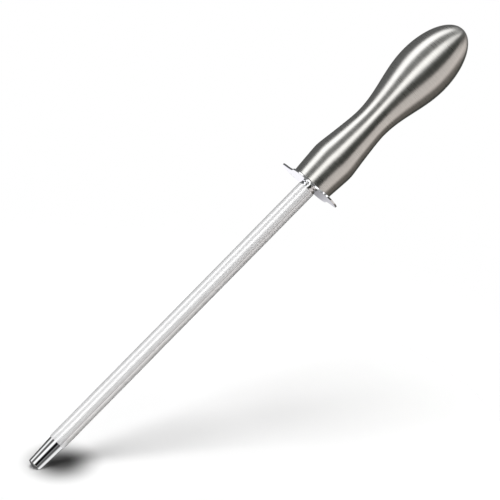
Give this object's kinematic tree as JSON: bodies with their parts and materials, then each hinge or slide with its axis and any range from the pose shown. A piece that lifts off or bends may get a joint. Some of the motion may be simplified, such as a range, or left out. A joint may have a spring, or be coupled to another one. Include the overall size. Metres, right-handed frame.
{
  "type": "knife sharpening steel",
  "caption": "Knife sharpening steel: a round ribbed rod with a smooth conical tip, a flat two-eared finger guard and a hollow round handle with a waist and a belly.",
  "frame": {"origin": "centre of the small flat on the end of the tip, on the steel's axis", "axes": "+Z along the steel's axis from the tip to the end of the handle, X along the guard's two ears, Y across them"},
  "size_m": [0.058, 0.037, 0.3934],
  "materials": {
    "rod_chrome": "bright chrome plate, ribbed lengthwise, polished at the tip",
    "guard_chrome": "bright chrome plate",
    "brushed_handle": "satin, brushed round the handle",
    "plain_steel": "plain cut steel",
    "filler_resin": "cast resin"
  },
  "bodies": {
    "root": {"sharpening_rod": "rod_chrome", "finger_guard": "guard_chrome", "mouth_plate": "plain_steel", "handle_half_front": "brushed_handle", "handle_half_back": "brushed_handle", "seam_weld": "brushed_handle", "handle_filler": "filler_resin"}
  },
  "joints": []
}
